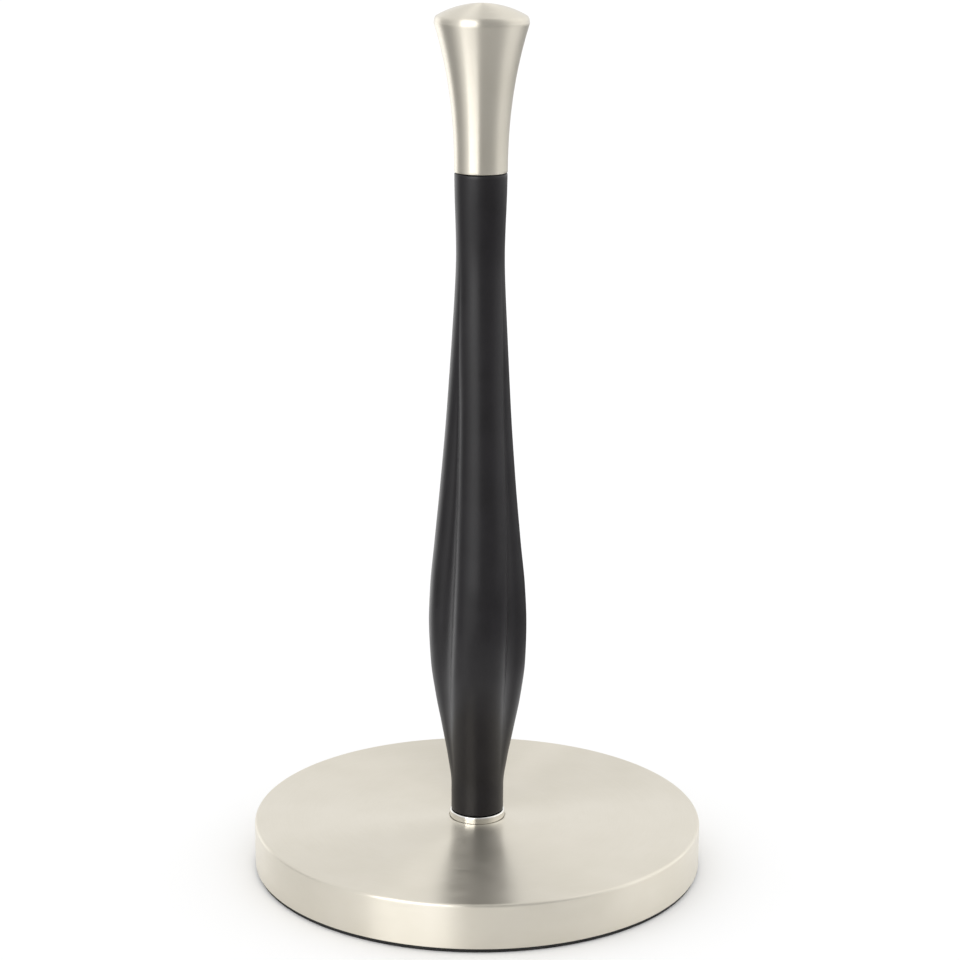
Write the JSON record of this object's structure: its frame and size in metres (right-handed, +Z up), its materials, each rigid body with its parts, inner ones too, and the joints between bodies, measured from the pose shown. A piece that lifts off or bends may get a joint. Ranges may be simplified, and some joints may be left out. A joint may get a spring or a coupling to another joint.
{
  "type": "paper towel holder",
  "caption": "Countertop paper towel holder: weighted round base, braked turning post with a soft lobed grip, and a flared finial.",
  "frame": {"origin": "on the floor, at the centre of the round base, under the post", "axes": "+Z up along the post; where the grip is widest, one of its three lobes faces -Y, the side seen in the picture"},
  "size_m": [0.184, 0.184, 0.352],
  "materials": {
    "satin_steel": "warm satin nickel tone, fine brush lines running round the piece",
    "polished_steel": "polished",
    "ballast_iron": "raw casting, lightly oiled",
    "cover_plastic": "fine moulded texture",
    "foot_rubber": "dull",
    "screw_steel": "black oxide",
    "zinc_steel": "bright zinc plate",
    "spring_steel": "hard drawn",
    "brake_pad": "fibre friction material",
    "bush_plastic": "natural acetal",
    "tube_alloy": "drawn tube",
    "grip_rubber": "soft-touch, matte"
  },
  "bodies": {
    "stand": {"base_shell": "satin_steel", "ballast_disc": "ballast_iron", "bottom_cover": "cover_plastic", "foot_ring": "foot_rubber", "cover_screw_1": "screw_steel", "cover_screw_2": "screw_steel", "cover_screw_3": "screw_steel", "rod": "zinc_steel", "rod_nut": "zinc_steel", "rod_lock_washer": "zinc_steel", "rod_flat_washer": "zinc_steel", "base_hub": "zinc_steel", "collar": "polished_steel", "brake_disc": "brake_pad", "thrust_washer": "spring_steel", "tension_spring": "spring_steel", "spring_cup": "zinc_steel", "tension_nut": "zinc_steel", "finial_shell": "satin_steel", "finial_insert": "zinc_steel"},
    "spinner": {"grip_sleeve": "grip_rubber", "core_tube": "tube_alloy", "lower_bush": "bush_plastic", "upper_bush": "bush_plastic"}
  },
  "joints": [
    {"name": "grip_spin", "type": "hinge", "parent": "stand", "child": "spinner", "pos_m": [0, 0, 0.15], "axis": [0, 0, 1], "continuous": true}
  ]
}
